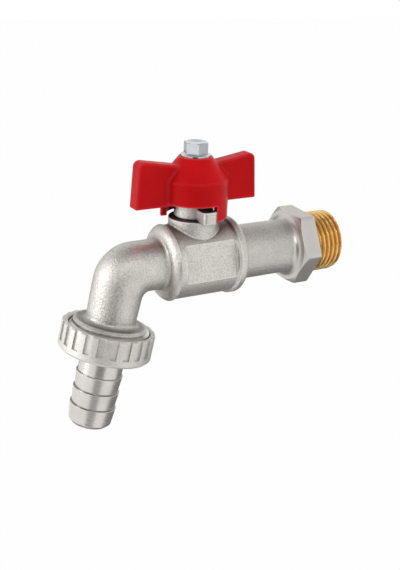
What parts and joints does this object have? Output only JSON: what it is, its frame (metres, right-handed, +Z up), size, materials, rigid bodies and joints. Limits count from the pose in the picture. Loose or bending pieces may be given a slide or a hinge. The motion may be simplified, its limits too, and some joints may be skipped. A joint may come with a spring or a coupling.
{
  "type": "hose tap",
  "caption": "Ball-valve hose tap with a butterfly handle, a threaded wall inlet, a bent spout and a barbed hose tail held by a union nut.",
  "frame": {"origin": "centre of the shoulder where the inlet thread starts", "axes": "+X along the inlet thread towards the wall, +Z up along the valve stem, +Y to complete the frame"},
  "size_m": [0.1012, 0.0306, 0.0924],
  "materials": {
    "plated_brass": "sand-blasted and nickel plated",
    "plated_nut": "nickel plated",
    "plated_tail": "turned and nickel plated",
    "bare_brass": "turned",
    "chromed_brass": "polished",
    "red_paint": "semi-gloss",
    "zinc_steel": "zinc plated",
    "seal_plastic": "matt white",
    "seal_rubber": "matt black"
  },
  "bodies": {
    "tap_body": {"valve_body": "plated_brass", "inlet_connector": "plated_brass", "inlet_seat": "seal_plastic", "outlet_seat": "seal_plastic", "stem_thrust_washer": "seal_plastic"},
    "valve_rotor": {"handle": "red_paint", "handle_screw": "zinc_steel", "stem": "bare_brass", "stem_o_ring_lower": "seal_rubber", "stem_o_ring_upper": "seal_rubber", "ball": "chromed_brass"},
    "hose_tail": {"hose_tail": "plated_tail", "tail_gasket": "seal_rubber"},
    "union_nut": {"union_nut": "plated_nut"}
  },
  "joints": [
    {"name": "handle_turn", "type": "hinge", "parent": "tap_body", "child": "valve_rotor", "pos_m": [-0.0432, 0, 0], "axis": [0, 0, 1], "range_deg": [0, 90]},
    {"name": "tail_travel", "type": "slide", "parent": "tap_body", "child": "hose_tail", "axis": [-0.2147, 0, -0.9767], "range_m": [0, 0.0036]},
    {"name": "nut_turn", "type": "hinge", "parent": "hose_tail", "child": "union_nut", "pos_m": [-0.07395, 0, -0.02344], "axis": [-0.2147, 0, -0.9767], "range_deg": [0, 720]}
  ],
  "couplings": [
    {"joint": "nut_turn", "follows": "tail_travel", "rad_per_m": 3463.7}
  ]
}
